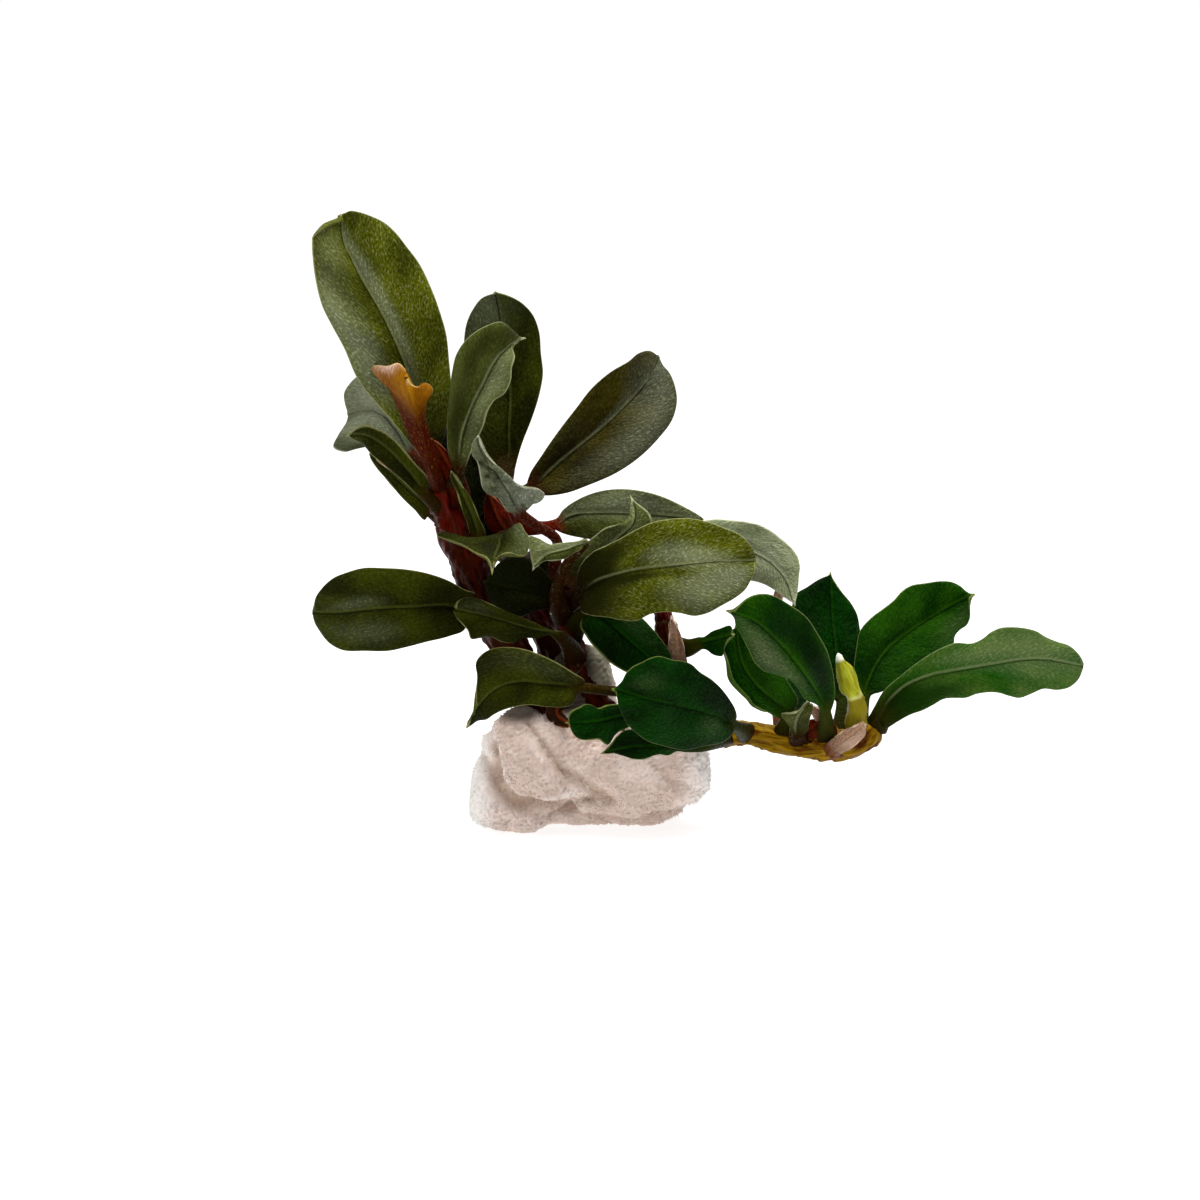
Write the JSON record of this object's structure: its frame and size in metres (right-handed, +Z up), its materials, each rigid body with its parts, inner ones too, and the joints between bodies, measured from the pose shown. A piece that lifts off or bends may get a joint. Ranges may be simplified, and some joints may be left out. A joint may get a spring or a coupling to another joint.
{
  "type": "bucephalandra plant in foam wrap",
  "caption": "Small aquarium plant with dark oval leaves on reddish stems, its creeping rhizome wrapped in a wad of soft white foam on which it stands.",
  "frame": {"origin": "middle of the foam wrap's flat underside, on the surface that the plant stands on", "axes": "+Z up, +X along the creeping rhizome towards its growing end, -Y towards the viewer of the picture"},
  "size_m": [0.0757, 0.0309, 0.0607],
  "materials": {
    "leaf_olive": "satin",
    "leaf_green": "satin",
    "leaf_dark": "satin",
    "leaf_grey": "satin",
    "stem_red": "satin",
    "rhizome_olive": "satin",
    "bract_brown": "satin",
    "sheath_pink": "satin",
    "bud_green": "satin",
    "foam_white": "matte"
  },
  "bodies": {
    "root": {"bract_brown": "bract_brown", "bud": "bud_green", "cataphyll_pink": "sheath_pink", "foam_wrap": "foam_white", "leaf_back_middle": "leaf_grey", "leaf_back_right": "leaf_green", "leaf_behind_centre": "leaf_dark", "leaf_behind_crown": "leaf_dark", "leaf_behind_left": "leaf_dark", "leaf_behind_right": "leaf_dark", "leaf_behind_tall": "leaf_dark", "leaf_below_centre": "leaf_green", "leaf_big_centre": "leaf_olive", "leaf_broad_right": "leaf_green", "leaf_dark_under": "leaf_dark", "leaf_folded": "leaf_grey", "leaf_front_right": "leaf_green", "leaf_grey_curled": "leaf_grey", "leaf_grey_left": "leaf_grey", "leaf_hooked": "leaf_grey", "leaf_long_right": "leaf_green", "leaf_low_left": "leaf_dark", "leaf_lower_left": "leaf_olive", "leaf_olive_left": "leaf_olive", "leaf_pale_right": "leaf_grey", "leaf_rolled": "leaf_green", "leaf_round_front": "leaf_green", "leaf_small_front": "leaf_green", "leaf_small_left": "leaf_green", "leaf_tall_back": "leaf_dark", "leaf_tall_left": "leaf_olive", "leaf_tiny_pale": "leaf_grey", "leaf_tiny_right": "leaf_green", "leaf_to_viewer": "leaf_olive", "leaf_to_viewer_small": "leaf_grey", "leaf_upper_right": "leaf_dark", "leaf_wide_left": "leaf_olive", "rhizome": "rhizome_olive", "sheath_right": "sheath_pink", "stem_centre": "stem_red", "stem_left": "stem_red", "stem_middle": "stem_red", "stem_right": "stem_red"}
  },
  "joints": []
}
